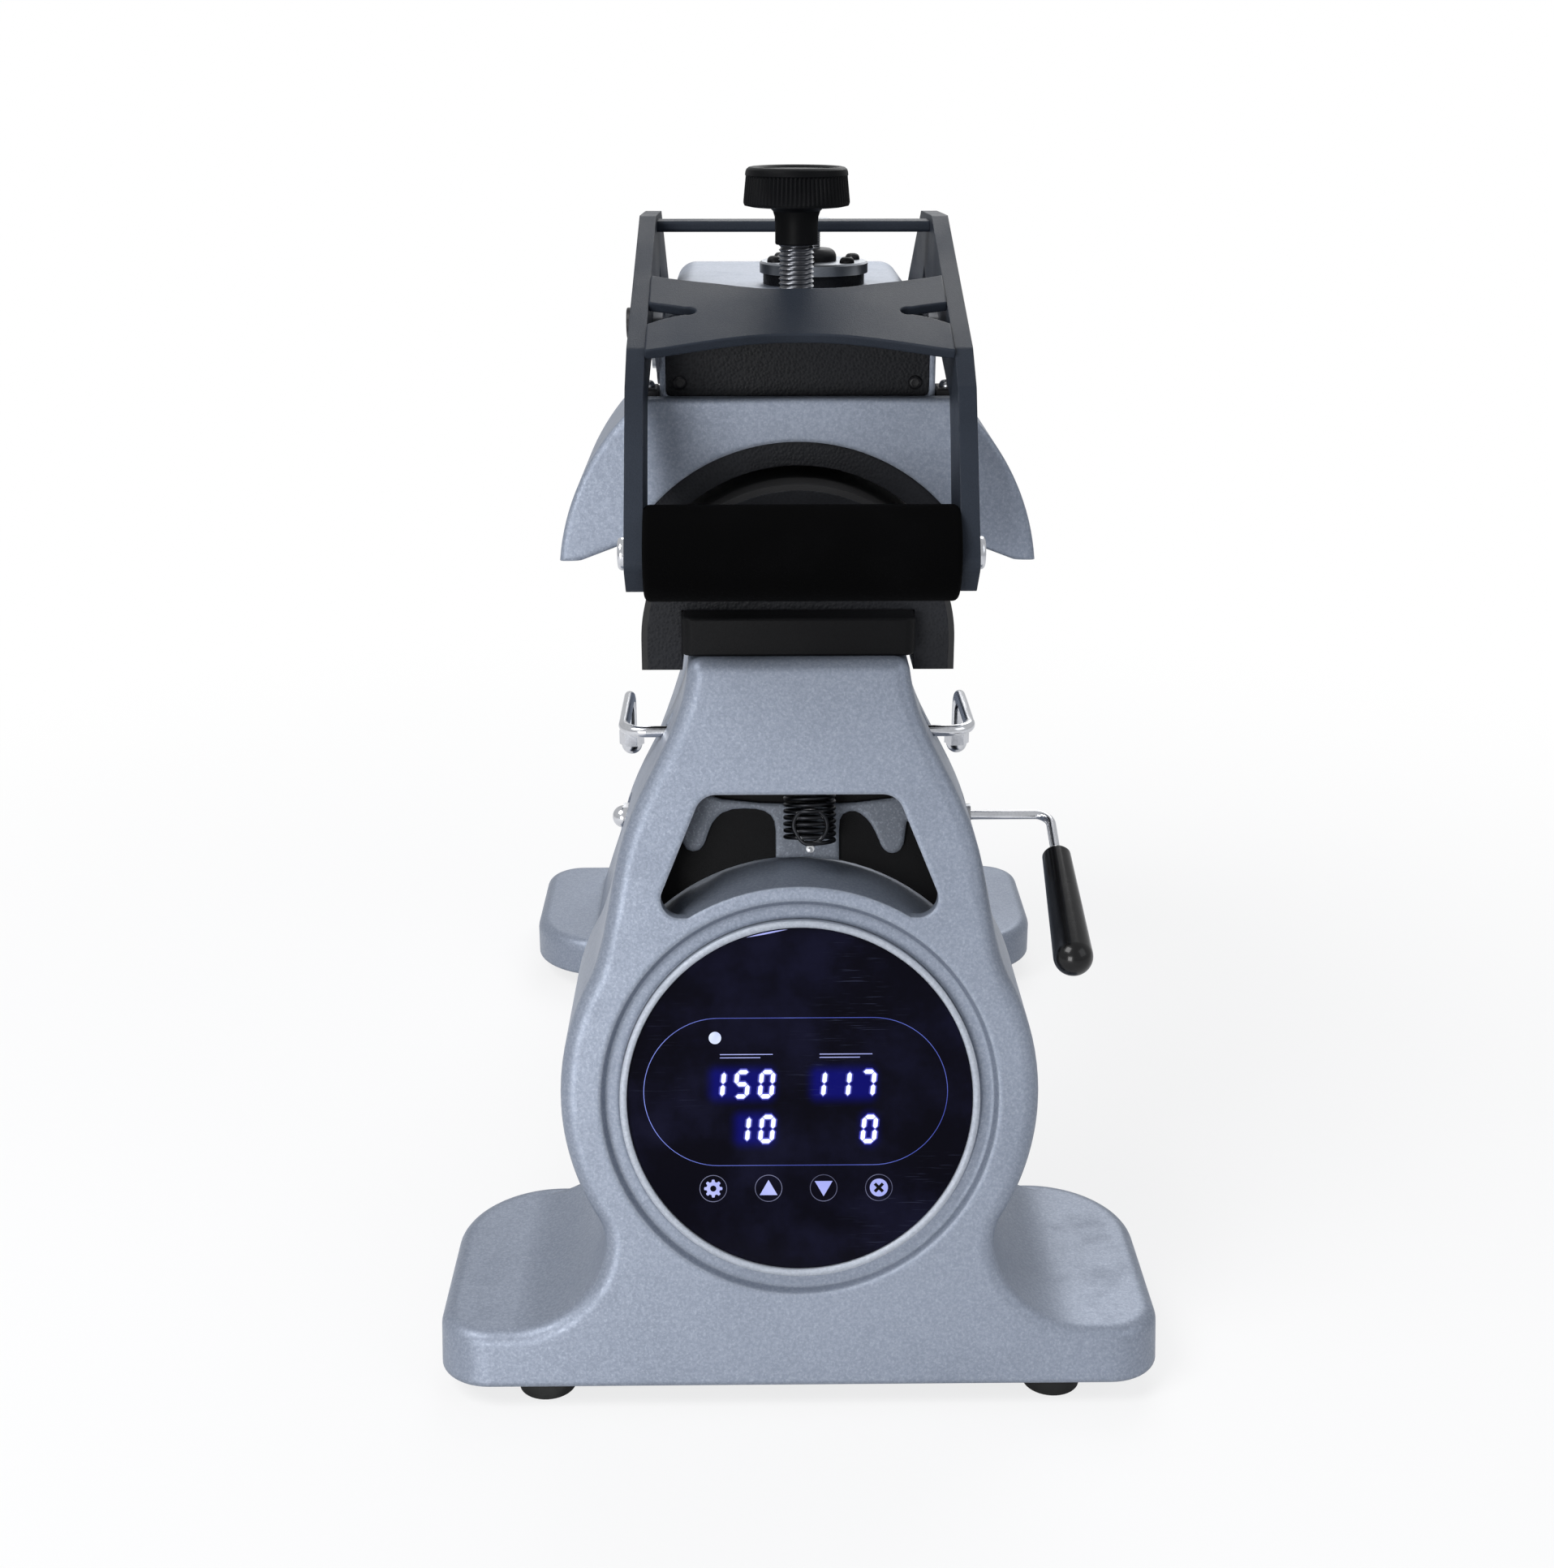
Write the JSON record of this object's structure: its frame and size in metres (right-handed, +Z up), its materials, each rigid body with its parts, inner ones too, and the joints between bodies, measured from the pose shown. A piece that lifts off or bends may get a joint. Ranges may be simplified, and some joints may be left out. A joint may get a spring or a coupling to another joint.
{
  "type": "cap heat press",
  "caption": "Heat press for caps: curved lower platen on a leaning front pedestal, hinged arm with screw-set curved upper head, lever yoke and round display.",
  "frame": {"origin": "on the bench, under the middle of the press's overall depth and width", "axes": "+X is the operator's right, +Y runs from the display towards the hinge at the back, +Z is up"},
  "size_m": [0.38, 0.664, 0.614],
  "materials": {
    "hammer_silver": "hammer paint, silver grey",
    "grey_bracket": "satin grey paint",
    "black_panel": "satin black",
    "display_glass": "gloss black printed glass",
    "circuit_board": "solder mask green",
    "digit_black": "matt black",
    "zinc_plate": "zinc plated",
    "black_plate": "fine texture black powder coat",
    "black_plastic": "moulded black",
    "rocker_red": "moulded red",
    "rubber_black": "moulded",
    "silicone_pad": "silicone, satin",
    "white_pin": "white cap",
    "spring_steel": "drawn wire",
    "bronze_bush": "sintered bronze",
    "bright_chrome": "polished",
    "turned_steel": "turned",
    "magnet_steel": "ground",
    "black_grip": "moulded",
    "textured_black": "coarse texture black powder coat",
    "charcoal_plate": "satin charcoal",
    "grip_foam": "foam sleeve",
    "satin_steel": "satin",
    "insulation_board": "ceramic fibre board",
    "knob_plastic": "fluted, moulded"
  },
  "bodies": {
    "frame": {"front_pedestal": "hammer_silver", "pedestal_bracket": "grey_bracket", "pedestal_liner": "black_panel", "bezel_ring": "hammer_silver", "display_glass": "display_glass", "control_board": "circuit_board", "digit_modules": "digit_black", "control_housing": "black_panel", "base_beam": "hammer_silver", "beam_bottom_plate": "zinc_plate", "rear_tower": "hammer_silver", "tower_rear_cover": "black_plate", "power_inlet": "black_plastic", "fuse_holder": "black_plastic", "rocker_frame": "black_plastic", "rubber_feet": "rubber_black", "platen_bracket": "black_plate", "lower_platen": "textured_black", "platen_pad": "silicone_pad", "spring_hook_pin": "white_pin", "tension_spring": "spring_steel", "shaft_bushes": "bronze_bush", "clamp_guides": "bright_chrome", "hinge_pin": "turned_steel", "hinge_bushes": "bronze_bush", "pin_collars": "turned_steel", "lift_springs": "spring_steel", "magnet_bracket": "black_plate", "electromagnet": "magnet_steel", "power_board": "circuit_board"},
    "rocker": {"power_rocker": "rocker_red"},
    "crank": {"crank_shaft": "turned_steel", "crank_cam": "turned_steel", "crank_rod": "bright_chrome", "crank_grip": "black_grip", "shaft_dome_nut": "bright_chrome"},
    "clamp": {"clamp_carriage": "black_plate", "clamp_bail": "bright_chrome", "bail_dome_nuts": "bright_chrome"},
    "arm": {"arm_casting": "hammer_silver", "arm_front_plate": "textured_black", "yoke_plate_left": "charcoal_plate", "yoke_plate_right": "charcoal_plate", "yoke_cross_plate": "charcoal_plate", "yoke_top_bar": "charcoal_plate", "handle_grip": "grip_foam", "grip_bolts": "bright_chrome", "yoke_spacers": "turned_steel", "keeper_base": "textured_black", "keeper_flange": "satin_steel", "keeper_dome": "black_plastic", "keeper_rod": "turned_steel", "armature_plate": "magnet_steel", "stud_nut": "turned_steel"},
    "head": {"head_cover": "hammer_silver", "upper_heater": "textured_black", "head_insulation": "insulation_board", "guide_blocks": "black_plastic"},
    "screw": {"pressure_stud": "turned_steel", "pressure_knob": "knob_plastic"}
  },
  "joints": [
    {"name": "arm_lift", "type": "hinge", "parent": "frame", "child": "arm", "pos_m": [0, 0.108, 0.492], "axis": [-1, 0, 0], "range_deg": [0, 38]},
    {"name": "head_travel", "type": "slide", "parent": "arm", "child": "head", "axis": [0, 0, 1], "range_m": [-0.00499, 0.00499]},
    {"name": "pressure_screw_turn", "type": "hinge", "parent": "head", "child": "screw", "pos_m": [0, -0.1455, 0.55], "axis": [0, 0, 1], "range_deg": [-720, 720]},
    {"name": "crank_turn", "type": "hinge", "parent": "frame", "child": "crank", "pos_m": [0, -0.202, 0.282], "axis": [1, 0, 0], "range_deg": [0, 80]},
    {"name": "clamp_lift", "type": "slide", "parent": "frame", "child": "clamp", "axis": [0, 0, 1], "range_m": [0, 0.00707], "deforming": ["tension_spring"]},
    {"name": "power_switch", "type": "hinge", "parent": "frame", "child": "rocker", "pos_m": [0, 0.23474, 0.2647], "axis": [1, 0, 0], "range_deg": [-24, 0]}
  ],
  "couplings": [
    {"joint": "pressure_screw_turn", "follows": "head_travel", "rad_per_m": 2513.3},
    {"joint": "crank_turn", "follows": "clamp_lift", "rad_per_m": 197.47}
  ]
}
